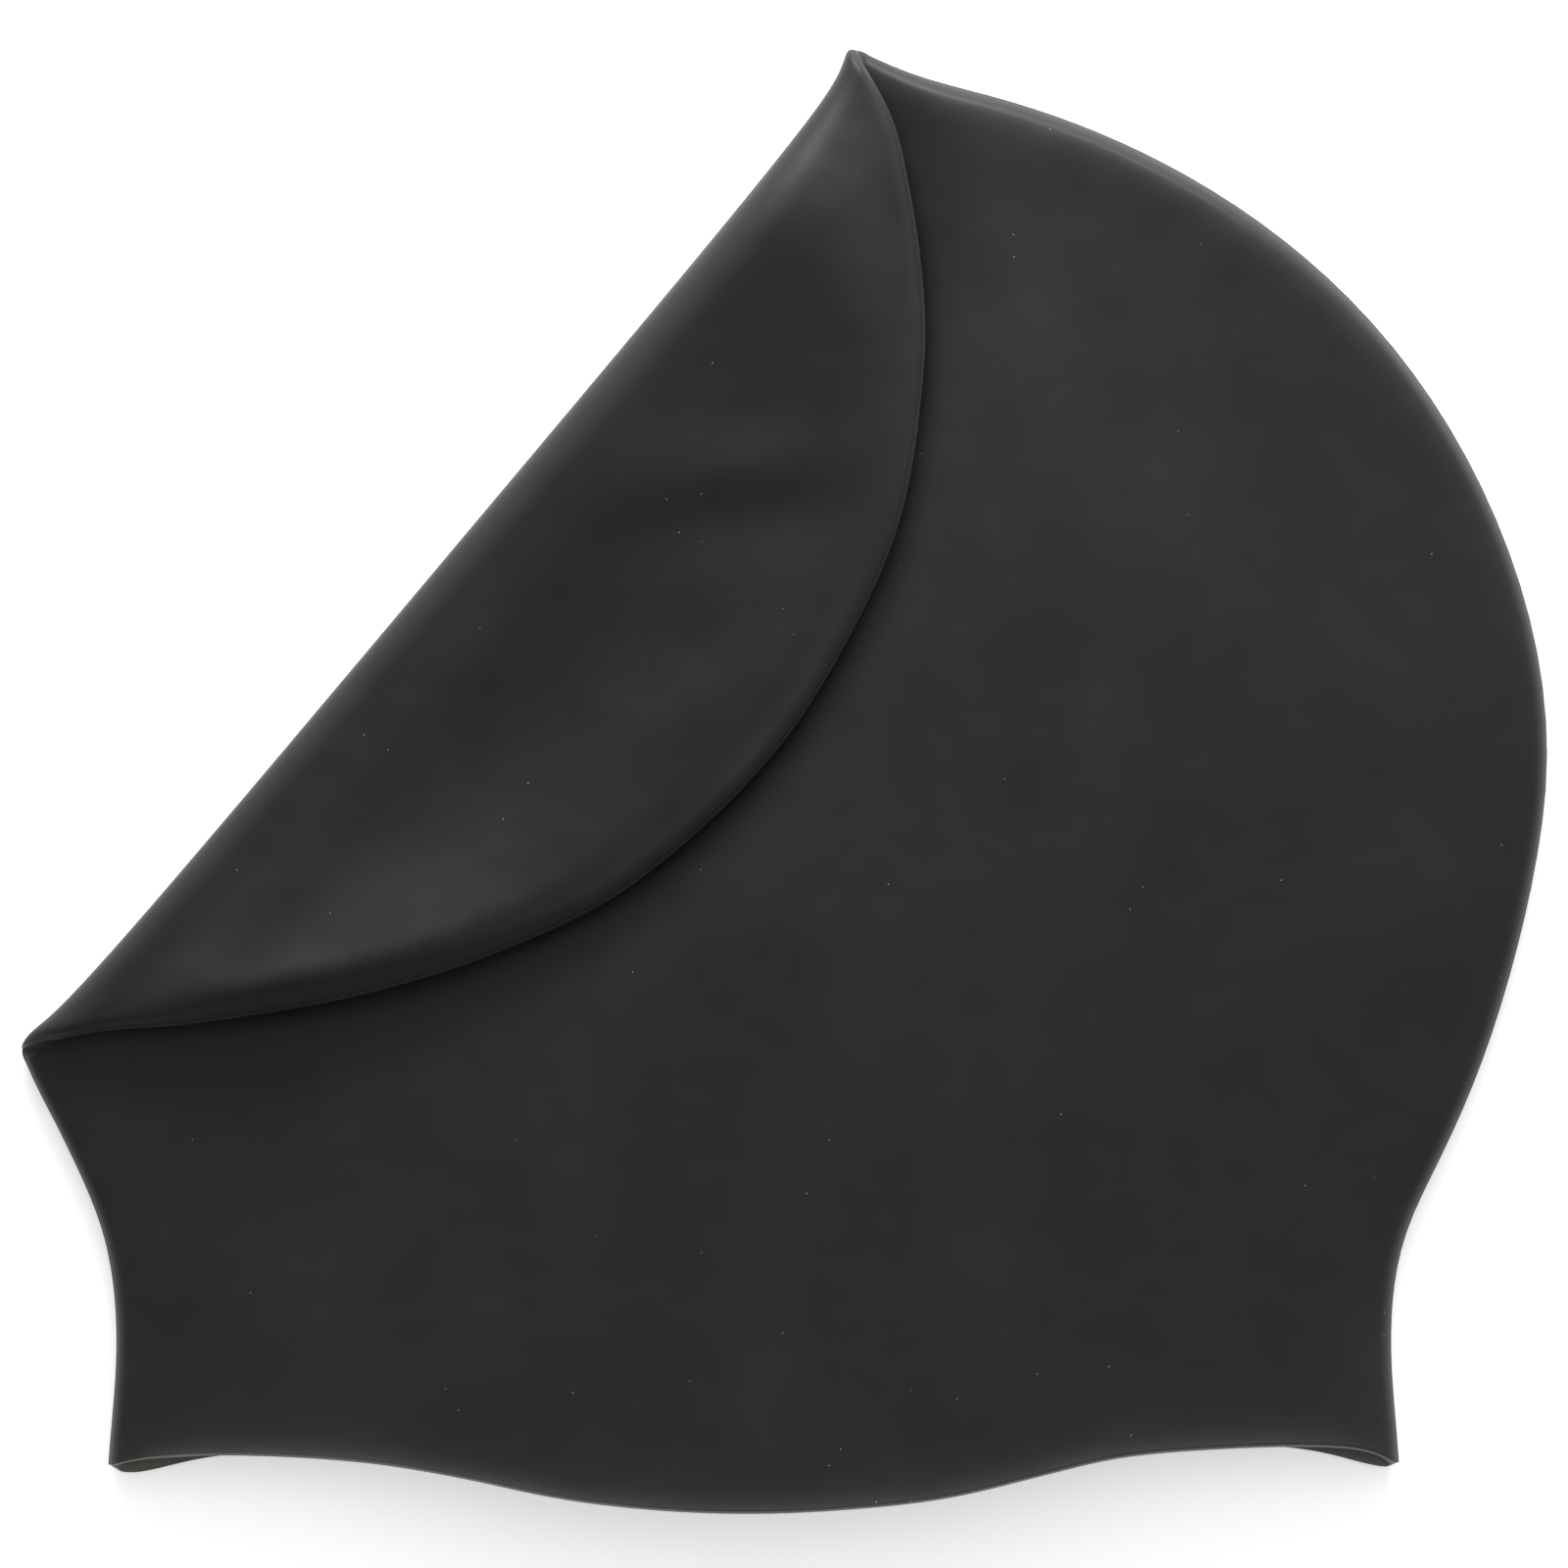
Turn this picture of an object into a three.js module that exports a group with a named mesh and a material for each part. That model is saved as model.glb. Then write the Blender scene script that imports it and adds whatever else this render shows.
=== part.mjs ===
// Swim cap, moulded in one piece from silicone rubber. It lies flat on a table, its
// lower sheet down, and the upper left of its crown is folded over onto the rest.
// Millimetres. +X runs along the rim, +Y from the rim to the crown, +Z up.
import * as THREE from "three";

// Outline of the cap laid flat, measured from the line through the rim's two corners
const CROWN_HALF_WIDTH = 110;
const SIDE_HEIGHT = 99.05; // up to the widest line
const DOME_RISE = 94.4; // from the widest line up to the top
const CROWN_FLAT = 0.95; // how far the crown's right side lies inside the plain curve
const FLAT_HEIGHT = 135;
const FLAT_RUN = 28;
const SIDE_TUCK = 0.85; // how far the left side is drawn in below the fold
const TUCK_HEIGHT = 43.5;
const TUCK_RUN = 8.5;
const EAR_DROP = 6.1; // the ear curve, below the corners
const RIM_RISE = 2.95; // the rim's highest stretch, above the corners
const LOWER_LIP = 2.1; // how far the lower sheet's rim shows past the upper one's
const LIP_PLACE = 4.4; // where it shows most, in from each corner
const LIP_END = 15.4; // where it starts to draw back, in from each corner
const LIP_FADE = 13.2; // and how far on it is drawn back fully
const LOWER_RECESS = 0.7; // how far it hides behind it elsewhere
const RIM_REACH = 45; // height up to which the rows follow the rim's curve

// Wall and heights above the table
const WALL = 1;
const EDGE_RADIUS = 1.7; // outside of the moulded edge that joins the two sheets
const CROWN_HEIGHT = 10.6;
const MOUTH_HEIGHT = 10.2;
const SHOULDER_HEIGHT = 2.4; // rise of the upper sheet close to its edge
const SHOULDER_RUN = 1.2; // on the crown
const SIDE_SHOULDER_RUN = 5.4; // on the sides
const SHOULDER_FROM = 90; // heights between which the first becomes the second
const SHOULDER_TO = 150;
const DOME_RUN = 66; // from the edge to the full height
const MOUTH_RUN = 14; // from the rim to the full height

// Fold
const FOLD_LOW_HEIGHT = 57.75; // lower tip, above the rim's corners
const FOLD_TOP_OFFSET = 14.1; // upper tip, right of the middle
const TIP_PULL = 2.4; // how far the upper tip stands above the dome's own curve
const TIP_PULL_RUN = 6.2;
const FOLD_RADIUS = 2.4; // bend of the pair of sheets, half way between them
const TOP_FOLD_RADIUS = 5.8; // and near its upper tip, where the fold stands open
const OPENING = 1.6; // power by which it opens
const TIP_RADIUS = 1.9; // at both tips
const LOW_TIP_RUN = 21; // from the lower tip to the full radius
const TOP_TIP_RUN = 28; // and from the upper one
const TIP_TURN = 1.4; // above 1, the edge turns along the fold late in the bend
const FOLD_RECESS = 1.5; // how far the fold lies inside the line through its tips
const RECESS_RUN = 13;
const TIP_BLUNTNESS = 2.5; // length of a tip's rounded end

// Upper sheet beside the fold and under the flap
const BEND_EASE = 9; // from the fold to the sheet's free height
const FOLD_EASE = 45; // under the flap, where the sheet is pressed down
const PRESSED_SHARE = 0.4;
const PRESS_START = 3; // how far under the flap's edge it starts to rise again
const PRESS_RUN = 9; // and how fast, beside the upper half of the fold
const LOW_PRESS_RUN = 60; // and at its lower tip
const PRESS_CHANGE = 0.5; // share of the fold over which the second becomes the first

// Flap
const FLAP_DEPTH = 53.5;
const FLAP_EDGE_RADIUS = 1.8;
const FLAP_EDGE_RUN = 15;
const FLAP_WAIST = 7; // width of the groove inside the flap's edge
const FLAP_CLEARANCE = 0.5;
const LIFT_PLACE = 0.17; // along the fold, where the flap's edge stands highest
const LIFT_SPREAD = 0.18;
const FLAP_LIFT = 1.8;
const EDGE_DIP = 2.6; // how far its edge turns down there
const DIP_START = 1.2;
const DIP_RUN = 6.5;
const DENT_FADE = 8; // from the fold or the flap's edge to a dent's full depth
const SHORT_FLAP = 16; // a flap narrower than this stays up instead of lying down

// Half width of the flat outline: shares of SIDE_HEIGHT and CROWN_HALF_WIDTH.
// The last row lies past the widest line, so that the curve runs level through it.
const SIDE_PROFILE = [
  { height: 0, width: 0.81 },
  { height: 0.19, width: 0.8 },
  { height: 0.32, width: 0.817 },
  { height: 0.457, width: 0.875 },
  { height: 0.593, width: 0.925 },
  { height: 0.8, width: 0.976 },
  { height: 1, width: 1 },
  { height: 1.2, width: 0.976 },
];

// The upper sheet's rim: across is a share of the half width at the corners, rise of
// RIM_RISE and ear of EAR_DROP.
const RIM_CURVE = [
  { across: -1, rise: 0, ear: 0 },
  { across: -0.94, rise: 0.4, ear: 0 },
  { across: -0.8, rise: 0.62, ear: 0 },
  { across: -0.6, rise: 0.3, ear: 0 },
  { across: -0.45, rise: 0, ear: 0.2 },
  { across: -0.3, rise: 0, ear: 0.66 },
  { across: -0.15, rise: 0, ear: 0.92 },
  { across: 0, rise: 0, ear: 1 },
  { across: 0.15, rise: 0, ear: 0.9 },
  { across: 0.3, rise: 0, ear: 0.65 },
  { across: 0.45, rise: 0, ear: 0.13 },
  { across: 0.56, rise: 0.5, ear: 0 },
  { across: 0.7, rise: 0.88, ear: 0 },
  { across: 0.86, rise: 1, ear: 0 },
  { across: 0.95, rise: 0.75, ear: 0 },
  { across: 1, rise: 0.1, ear: 0 },
];

// The flap's edge: along is a share of the fold's length, depth of FLAP_DEPTH.
const FLAP_OUTLINE = [
  { along: 0, depth: 0 },
  { along: 0.05, depth: 0.132 },
  { along: 0.1, depth: 0.3 },
  { along: 0.2, depth: 0.584 },
  { along: 0.3, depth: 0.797 },
  { along: 0.4, depth: 0.939 },
  { along: 0.54, depth: 1 },
  { along: 0.65, depth: 0.957 },
  { along: 0.75, depth: 0.855 },
  { along: 0.85, depth: 0.65 },
  { along: 0.9, depth: 0.503 },
  { along: 0.95, depth: 0.312 },
  { along: 0.98, depth: 0.17 },
  { along: 1, depth: 0 },
];

// Soft dents of the flap, and swells where sink is negative: along and depth as above,
// then half length and half width, the turn from the fold in degrees, and the sink.
const FLAP_DENTS = [
  { along: 0.45, depth: 0.5, length: 38, width: 11, turn: 2, sink: 1.4 },
  { along: 0.69, depth: 0.44, length: 17, width: 3.6, turn: 42, sink: -0.8 },
  { along: 0.66, depth: 0.55, length: 15, width: 3.2, turn: 42, sink: 0.5 },
  { along: 0.4, depth: 0.2, length: 44, width: 6, turn: 0, sink: -0.8 },
  { along: 0.575, depth: 0.68, length: 7, width: 4.5, turn: 0, sink: 0.5 },
  { along: 0.2, depth: 0.36, length: 12, width: 4, turn: 10, sink: 0.3 },
  { along: 0.898, depth: 0.2, length: 7, width: 2.2, turn: 20, sink: -0.35 },
];

// Soft swells of the upper sheet: middle, half length and half width, turn from +X in
// degrees, rise.
const BODY_SWELLS = [
  { x: -93, y: 43.5, length: 9, width: 4.5, turn: -34, rise: 0.4 },
  { x: 72, y: 150, length: 18, width: 6, turn: 118, rise: 0.35 },
  { x: 52, y: 128, length: 14, width: 7, turn: 120, rise: 0.3 },
  { x: -20, y: 64, length: 30, width: 14, turn: 20, rise: 0.3 },
  { x: 40, y: 40, length: 26, width: 12, turn: -15, rise: 0.25 },
];

// Facets
const EDGE_STEPS = 3; // from the parting line to the flat of a sheet
const BODY_ROWS = 22;
const BEND_ROWS = 9;
const FLAP_ROWS = 9;
const COLUMNS = 24;
const FINE_STEPS = 240; // points on a boundary before it is divided into rows

const lerp = THREE.MathUtils.lerp;
const ease = (t) => THREE.MathUtils.smoothstep(t, 0, 1);
const point = (x, y) => new THREE.Vector2(x, y);

// Smooth curve through a table's rows: the value of one column at a place in another.
function readTable(rows, key, column, at) {
  const last = rows.length - 1;
  let i = rows.findIndex((row) => row[key] > at) - 1;
  if (i < 0) i = at <= rows[0][key] ? 0 : last - 1;
  const slope = (k) => {
    const a = rows[Math.max(0, k - 1)];
    const b = rows[Math.min(last, k + 1)];
    return (b[column] - a[column]) / (b[key] - a[key]);
  };
  const [a, b] = [rows[i], rows[i + 1]];
  const span = b[key] - a[key];
  const t = THREE.MathUtils.clamp((at - a[key]) / span, 0, 1);
  const t2 = t * t;
  const t3 = t2 * t;
  return (
    (2 * t3 - 3 * t2 + 1) * a[column] +
    (t3 - 2 * t2 + t) * span * slope(i) +
    (3 * t2 - 2 * t3) * b[column] +
    (t3 - t2) * span * slope(i + 1)
  );
}

// The place between low and high where a rising function reaches zero.
function solve(f, low, high) {
  for (let n = 0; n < 40; n++) {
    const middle = (low + high) / 2;
    if (f(middle) < 0) low = middle;
    else high = middle;
  }
  return (low + high) / 2;
}

// Flat outline
function halfWidth(y) {
  const above = (y - SIDE_HEIGHT) / DOME_RISE;
  return above > 0
    ? CROWN_HALF_WIDTH * Math.sqrt(Math.max(0, 1 - above * above))
    : CROWN_HALF_WIDTH * readTable(SIDE_PROFILE, "height", "width", y / SIDE_HEIGHT);
}

function domeTop(x) {
  const pull = Math.exp(-(((x - FOLD_TOP_OFFSET) / TIP_PULL_RUN) ** 2));
  const across = x / CROWN_HALF_WIDTH;
  const dome = SIDE_HEIGHT + DOME_RISE * Math.sqrt(Math.max(0, 1 - across * across));
  return dome + TIP_PULL * pull;
}

const bell = (t) => Math.exp(-t * t);
const flatAt = (y) => CROWN_FLAT * bell((y - FLAT_HEIGHT) / FLAT_RUN);

function leftPlace(y) {
  return point(SIDE_TUCK * bell((y - TUCK_HEIGHT) / TUCK_RUN) - halfWidth(y), y);
}

function rightPlace(y) {
  return point(halfWidth(y) - flatAt(y), y);
}

function domePlace(angle) {
  const x = CROWN_HALF_WIDTH * Math.cos(angle);
  const y = domeTop(x);
  return point(x - flatAt(y), y);
}

const CORNER = halfWidth(0);

function upperRim(x) {
  const across = x / CORNER;
  return (
    RIM_RISE * readTable(RIM_CURVE, "across", "rise", across) -
    EAR_DROP * readTable(RIM_CURVE, "across", "ear", across)
  );
}

// The lower sheet's rim shows as a lip at each corner and hides between them.
function lowerRim(x) {
  const inset = Math.max(0, CORNER - Math.abs(x));
  const lip = (inset / LIP_PLACE) * Math.exp(1 - inset / LIP_PLACE);
  const middle = ease((inset - LIP_END) / LIP_FADE);
  return upperRim(x) - LOWER_LIP * lip + LOWER_RECESS * middle;
}

// The fold's own frame: s along it from the lower tip, x across it into the cap
const LOW_TIP = leftPlace(FOLD_LOW_HEIGHT);
const TOP_TIP = point(FOLD_TOP_OFFSET, domeTop(FOLD_TOP_OFFSET));
const FOLD_LENGTH = LOW_TIP.distanceTo(TOP_TIP);
const ALONG = TOP_TIP.clone().sub(LOW_TIP).normalize();
const INWARD = point(ALONG.y, -ALONG.x);

const toPlan = (s, x) =>
  LOW_TIP.clone().addScaledVector(ALONG, s).addScaledVector(INWARD, x);
function toFold(p) {
  const from = p.clone().sub(LOW_TIP);
  return point(from.dot(ALONG), from.dot(INWARD));
}

const fromTip = (s) => Math.max(0, Math.min(s, FOLD_LENGTH - s));
function foldRadius(s) {
  const along = THREE.MathUtils.clamp(s / FOLD_LENGTH, 0, 1);
  const full = lerp(FOLD_RADIUS, TOP_FOLD_RADIUS, along ** OPENING);
  const run = Math.min(s / LOW_TIP_RUN, (FOLD_LENGTH - s) / TOP_TIP_RUN);
  return lerp(TIP_RADIUS, full, ease(run));
}
const foldRecess = (s) =>
  FOLD_RECESS * (1 - Math.exp(-fromTip(s) / RECESS_RUN)) -
  EDGE_RADIUS * Math.exp(-fromTip(s) / TIP_BLUNTNESS);
const bendStart = (s) => foldRecess(s) + foldRadius(s) + EDGE_RADIUS;
const flapEdge = (s) =>
  FLAP_DEPTH * readTable(FLAP_OUTLINE, "along", "depth", s / FOLD_LENGTH);
const flapWidth = (s) => flapEdge(s) - bendStart(s);

// Where the flat sheets lie before they are bent: a turn round the fold, then the flap
const turned = (s, angle) => point(s, bendStart(s) - angle * foldRadius(s));
const flapFlat = (s) => point(s, bendStart(s) - Math.PI * foldRadius(s) - flapWidth(s));

// Boundary paths of the flat sheets
class Path {
  constructor(points) {
    this.points = points;
    this.lengths = [0];
    for (let i = 1; i < points.length; i++)
      this.lengths.push(this.lengths[i - 1] + points[i].distanceTo(points[i - 1]));
  }

  at(share) {
    const goal = THREE.MathUtils.clamp(share, 0, 1) * this.lengths.at(-1);
    let i = this.lengths.findIndex((length) => length >= goal);
    i = Math.max(1, i);
    const t = (goal - this.lengths[i - 1]) / (this.lengths[i] - this.lengths[i - 1]);
    return this.points[i - 1].clone().lerp(this.points[i], t);
  }
}

const sample = (from, to, place) =>
  new Path(
    Array.from({ length: FINE_STEPS + 1 }, (_, i) => place(lerp(from, to, i / FINE_STEPS))),
  );
const pastStart = (p) => {
  const q = toFold(p);
  return q.y - bendStart(q.x);
};

// The sides end where the fold's bend starts.
const domeAngle = (back) => Math.acos((FOLD_TOP_OFFSET + back) / CROWN_HALF_WIDTH);
const lowEnd = solve(
  (down) => pastStart(leftPlace(FOLD_LOW_HEIGHT - down)),
  0,
  FOLD_LOW_HEIGHT / 2,
);
const topEnd = solve((back) => pastStart(domePlace(domeAngle(back))), 0, CROWN_HALF_WIDTH / 4);
const leftSide = sample(0, FOLD_LOW_HEIGHT - lowEnd, leftPlace);
const rightSide = new Path([
  ...sample(0, SIDE_HEIGHT, rightPlace).points,
  ...sample(0, domeAngle(topEnd), domePlace).points.slice(1),
]);

// The flap's own edge starts and ends where the bend has turned it over.
const flapFrom = solve((s) => flapWidth(s), 0, FOLD_LENGTH / 4);
const flapTo = solve((s) => -flapWidth(s), (3 * FOLD_LENGTH) / 4, FOLD_LENGTH);
const flapArc = sample(flapFrom, flapTo, (s) => {
  const flat = flapFlat(s);
  return toPlan(flat.x, flat.y);
});
const lowFrom = toFold(leftSide.at(1)).x;
const topFrom = toFold(rightSide.at(1)).x;

const bodySides = [...leftSide.points, ...rightSide.points];
const sideDistance = (p) => Math.min(...bodySides.map((q) => q.distanceTo(p)));

// Rows run across the cap from the rim to the flap's edge, columns from the left
// side to the right. The outermost lines of both are the crown's moulded edge.
const ROWS = BODY_ROWS + BEND_ROWS + FLAP_ROWS + EDGE_STEPS;
const LINES = COLUMNS + 2 * EDGE_STEPS;
const BENT = BODY_ROWS + BEND_ROWS;
const FLAP_SIDE_SHARE = 0.11; // of the flap's edge, that the side lines take
const FLAP_CROWDING = 1.35; // above 1, the flap's rows lie closer near its edge

const spread = (t, crowd) => t - (crowd * Math.sin(2 * Math.PI * t)) / (2 * Math.PI);
const bodyShare = (row) => spread(row / BODY_ROWS, 0.35);

// The crown's edge at a row, which may lie between two rows past the bend
function sideEdge(row, right) {
  if (row <= BODY_ROWS) return (right ? rightSide : leftSide).at(bodyShare(row));
  if (row <= BENT) {
    const t = (row - BODY_ROWS) / BEND_ROWS;
    const late = t ** TIP_TURN;
    const s = right ? lerp(topFrom, flapTo, late) : lerp(lowFrom, flapFrom, late);
    const flat = turned(s, Math.PI * t);
    return toPlan(flat.x, flat.y);
  }
  const t = (FLAP_SIDE_SHARE * (row - BENT)) / (ROWS - BENT);
  return flapArc.at(right ? 1 - t : t);
}

const farEdge = (line) =>
  flapArc.at(lerp(FLAP_SIDE_SHARE, 1 - FLAP_SIDE_SHARE, line / LINES));

// One ring of points at a distance inside the crown's edge, from the left rim corner
// round to the right one. Ring 0 is the parting line.
function ringPoints(ring) {
  const far = ROWS - ring;
  const stretch = (row) =>
    row <= BENT ? row : BENT + ((row - BENT) * (ROWS - BENT)) / (far - BENT);
  const left = Array.from({ length: far + 1 }, (_, row) => sideEdge(stretch(row), false));
  const right = left.map((_, row) => sideEdge(stretch(row), true)).reverse();
  const width = LINES - 2 * ring;
  const top = Array.from({ length: width - 1 }, (_, n) => farEdge(((n + 1) * LINES) / width));
  return [...left, ...top, ...right];
}

// Inward normals of a ring
function inwardNormals(points) {
  return points.map((_, i) => {
    if (i === 0) return point(1, 0);
    if (i === points.length - 1) return point(-1, 0);
    const d = points[i + 1].clone().sub(points[i - 1]).normalize();
    return point(d.y, -d.x);
  });
}

// Edge radius at a flat point: the flap's edge is a little fuller than the body's.
function edgeRadius(p) {
  const { x: s, y: x } = toFold(p);
  const past = bendStart(s) - x - Math.PI * foldRadius(s);
  if (past <= 0) return EDGE_RADIUS;
  return lerp(EDGE_RADIUS, FLAP_EDGE_RADIUS, ease(past / FLAP_EDGE_RUN));
}

// Flat grid. Each cell holds its place on the crown's edge or inside it, how far round
// the edge it sits (turn, a right angle on the flat of a sheet) and its inward normal.
const edgeTurn = (ring) => ((Math.PI / 2) * ring) / EDGE_STEPS;

function ringCells(grid) {
  for (let ring = 0; ring <= EDGE_STEPS; ring++) {
    const points = ringPoints(ring);
    const normals = inwardNormals(points);
    const far = ROWS - ring;
    points.forEach((edge, n) => {
      const line = THREE.MathUtils.clamp(n - far + ring, ring, LINES - ring);
      const row = n <= far ? n : Math.min(far, points.length - 1 - n);
      grid[line][row] = { edge, normal: normals[n], turn: edgeTurn(ring) };
    });
  }
}

// Inside the rings: rows fan out from the left side to the right, and follow the bend
// from its start to its end.
function innerCells(grid) {
  const [first, last, farRow] = [EDGE_STEPS, LINES - EDGE_STEPS, ROWS - EDGE_STEPS];
  const share = (line) => spread((line - first) / (last - first), 0.5);
  const left = (row) => place(grid[first][row], 0);
  const right = (row) => place(grid[last][row], 0);
  const rim = (line) => left(0).lerp(right(0), share(line));
  const top = (line) => place(grid[line][farRow], 0);
  const bend = (line, row) => {
    const u = share(line);
    const angle = (Math.PI * (row - BODY_ROWS)) / BEND_ROWS;
    const [a, b] = [toFold(left(row)), toFold(right(row))];
    const flat = turned(lerp(a.x, b.x, u), angle);
    flat.y += (a.y - turned(a.x, angle).y) * (1 - u) ** 8;
    flat.y += (b.y - turned(b.x, angle).y) * u ** 8;
    return toPlan(flat.x, flat.y);
  };
  const patch = (line, row, t, low, high) => {
    const u = share(line);
    const across = left(row).lerp(right(row), u);
    const along = low(line).lerp(high(line), t);
    const corners = low(first).lerp(high(first), t);
    corners.lerp(low(last).lerp(high(last), t), u);
    return across.add(along).sub(corners);
  };
  const bendStartRow = (line) => bend(line, BODY_ROWS);
  const bendEndRow = (line) => bend(line, BENT);
  for (let line = first + 1; line < last; line++)
    for (let row = 0; row < farRow; row++) {
      const flapShare = 1 - (1 - (row - BENT) / (farRow - BENT)) ** FLAP_CROWDING;
      let edge = bend(line, Math.min(Math.max(row, BODY_ROWS), BENT));
      if (row < BODY_ROWS) edge = patch(line, row, bodyShare(row), rim, bendStartRow);
      if (row > BENT) edge = patch(line, row, flapShare, bendEndRow, top);
      grid[line][row] = { edge, normal: point(0, 0), turn: Math.PI / 2, free: true };
    }
}

// Plan place of a cell on the outside (inset 0) or the inside (inset WALL)
function place(cell, inset) {
  const radius = edgeRadius(cell.edge);
  const reach = radius - (radius - inset) * Math.cos(cell.turn);
  return cell.edge.clone().addScaledVector(cell.normal, reach);
}

// Sum of soft dents or swells, each an ellipse in a frame of its own. The away of a row
// runs from its middle to the place that is read.
function sumOf(rows, awayFrom, column) {
  const parts = rows.map((row) => {
    const away = awayFrom(row).rotateAround(point(0, 0), -THREE.MathUtils.degToRad(row.turn));
    return row[column] * bell(Math.hypot(away.x / row.length, away.y / row.width));
  });
  return parts.reduce((sum, part) => sum + part, 0);
}

// Rise of the upper sheet over the lower one, beyond the edge's own thickness. Beside
// the fold it starts from nothing, and the flap presses it down.
const FULL_LOFT = CROWN_HEIGHT - 2 * EDGE_RADIUS;
function loft(p) {
  const { x: s, y: x } = toFold(p);
  const upTheFold = ease(s / FOLD_LENGTH / PRESS_CHANGE);
  const beside = Math.max(0, x - flapEdge(s) + PRESS_START);
  const free = 1 - Math.exp(-beside / lerp(LOW_PRESS_RUN, PRESS_RUN, upTheFold));
  const pressed = PRESSED_SHARE * ease((x - bendStart(s)) / FOLD_EASE);
  const start = ease((x - bendStart(s)) / BEND_EASE);
  const d = sideDistance(p);
  const onCrown = ease((p.y - SHOULDER_FROM) / (SHOULDER_TO - SHOULDER_FROM));
  const inside = 1 - Math.exp(-d / lerp(SIDE_SHOULDER_RUN, SHOULDER_RUN, onCrown));
  const swells = sumOf(BODY_SWELLS, (row) => p.clone().sub(point(row.x, row.y)), "rise");
  const dome = (FULL_LOFT - SHOULDER_HEIGHT) * ease(d / DOME_RUN);
  const mouthShare = (MOUTH_HEIGHT - 2 * EDGE_RADIUS) / FULL_LOFT;
  const mouth = 1 - (1 - mouthShare) * Math.exp(-Math.max(0, p.y) / MOUTH_RUN);
  const rise = (SHOULDER_HEIGHT + swells) * inside + dome;
  return rise * mouth * start * lerp(pressed, 1, free);
}

function dentDepth(s, x) {
  const away = (row) => point(s - row.along * FOLD_LENGTH, x - row.depth * FLAP_DEPTH);
  const fromFold = ease((x - bendStart(s)) / DENT_FADE);
  const fromEdge = ease((flapEdge(s) - x - DIP_START) / DENT_FADE);
  return sumOf(FLAP_DENTS, away, "sink") * fromFold * fromEdge;
}

// Height of the middle of the flap's two sheets. It runs from the fold to the upper
// sheet, where its edge lies. Towards the lower tip it stands up from it a little, and
// the edge itself turns down in a curve.
function flapHeight(s, x) {
  const top = EDGE_RADIUS + 2 * foldRadius(s);
  const under = toPlan(s, flapEdge(s));
  const lifted = bell((s / FOLD_LENGTH - LIFT_PLACE) / LIFT_SPREAD);
  const gap = FLAP_CLEARANCE + FLAP_LIFT * lifted;
  const rest = 2 * EDGE_RADIUS + loft(under) + gap + FLAP_EDGE_RADIUS;
  const dip = EDGE_DIP * lifted;
  const out = ease((x - bendStart(s)) / Math.max(flapWidth(s), SHORT_FLAP));
  const inward = THREE.MathUtils.clamp((flapEdge(s) - x - DIP_START) / DIP_RUN, 0, 1);
  return lerp(top, rest + dip, out) - dip * (1 - inward) ** 2 * out - dentDepth(s, x);
}

// The rim's curve moves the rows near it, less and less further up.
function followRim(p, mix) {
  const fade = 1 - ease(p.y / RIM_REACH);
  p.y += fade * lerp(lowerRim(p.x), upperRim(p.x), mix);
  return p;
}

// A cell in space: on the upper (side 1) or lower (side -1) sheet, outside (inset 0)
// or inside (inset WALL).
function inSpace(cell, side, inset) {
  const flat = place(cell, inset);
  const around = side * Math.sin(cell.turn);
  const { x: s, y: x } = toFold(flat);
  const start = bendStart(s);
  const radius = foldRadius(s);
  const past = start - x;
  const edge = edgeRadius(cell.edge);
  let offset = (edge - inset) * around;
  if (past <= 0) {
    if (side > 0) offset += loft(place(cell, 0)) * around;
    const p = followRim(flat, (around + 1) / 2);
    return new THREE.Vector3(p.x, p.y, EDGE_RADIUS + offset);
  }
  if (past < Math.PI * radius) {
    const angle = past / radius;
    const q = toPlan(s, start - (radius - offset) * Math.sin(angle));
    const z = EDGE_RADIUS + radius - (radius - offset) * Math.cos(angle);
    return new THREE.Vector3(q.x, q.y, z);
  }
  const flapX = start + past - Math.PI * radius;
  const q = toPlan(s, flapX);
  if (cell.free) {
    const inside = ease((flapEdge(s) - flapX - edge) / FLAP_WAIST);
    offset -= (edge - EDGE_RADIUS) * around * inside;
  }
  return new THREE.Vector3(q.x, q.y, flapHeight(s, flapX) - offset);
}

function capGeometry() {
  const grid = Array.from({ length: LINES + 1 }, () => new Array(ROWS + 1));
  ringCells(grid);
  innerCells(grid);
  const spots = [];
  const sheet = (side, inset) =>
    grid.map((column) => column.map((cell) => spots.push(inSpace(cell, side, inset)) - 1));
  const index = [];
  const quad = (a, b, c, d) => {
    const short = spots[a].distanceTo(spots[c]) <= spots[b].distanceTo(spots[d]);
    if (short) index.push(a, b, c, a, c, d);
    else index.push(a, b, d, b, c, d);
  };
  for (const side of [1, -1]) {
    const outer = sheet(side, 0);
    const inner = sheet(side, WALL);
    const face = (a, b, c, d) => (side > 0 ? quad(a, b, c, d) : quad(d, c, b, a));
    for (let line = 0; line < LINES; line++) {
      for (let row = 0; row < ROWS; row++) {
        const around = (g) => [g[line][row], g[line + 1][row], g[line + 1][row + 1], g[line][row + 1]];
        face(...around(outer));
        face(...around(inner).reverse());
      }
      face(outer[line][0], inner[line][0], inner[line + 1][0], outer[line + 1][0]);
    }
  }
  const geometry = new THREE.BufferGeometry().setFromPoints(spots);
  geometry.setIndex(index);
  const box = new THREE.Box3().setFromPoints(spots);
  const middle = box.getCenter(new THREE.Vector3());
  geometry.translate(-middle.x, -middle.y, -box.min.z);
  return geometry;
}

const rubber = new THREE.MeshStandardMaterial({ color: 0x1b1c1e, roughness: 0.42 });
const capMesh = new THREE.Mesh(capGeometry(), rubber);
capMesh.name = "cap";
capMesh.geometry.computeVertexNormals();

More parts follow.
